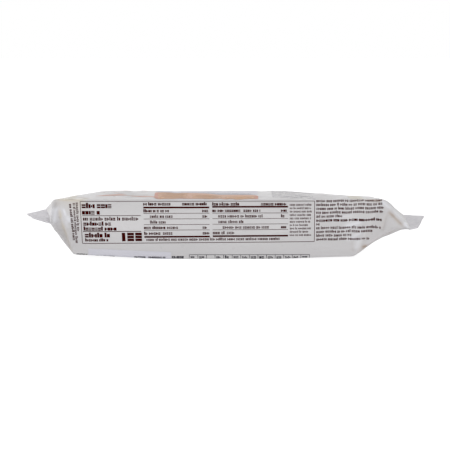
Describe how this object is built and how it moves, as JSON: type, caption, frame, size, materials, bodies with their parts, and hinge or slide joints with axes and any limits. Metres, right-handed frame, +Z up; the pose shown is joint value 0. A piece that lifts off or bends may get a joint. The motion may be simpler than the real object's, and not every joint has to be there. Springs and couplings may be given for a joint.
{
  "type": "flow-wrapped biscuit pack",
  "caption": "Sealed white film flow-wrap pack of puff pastry biscuits, lying on its underside, with crimped end fins, spread ears and a printed long side.",
  "frame": {"origin": "centre of the pack's footprint on the ground it lies on", "axes": "+X along the pack, to the right when facing the printed long side; +Y from the printed long side to the far one; +Z up"},
  "size_m": [0.2944, 0.124, 0.0434],
  "materials": {
    "printed_film": "white oriented film with a soft sheen, wrinkled over the folds",
    "label_paper": "smooth matt label stock, pale lavender white"
  },
  "bodies": {
    "root": {"film_pack": "printed_film", "stuck_label": "label_paper"}
  },
  "joints": []
}
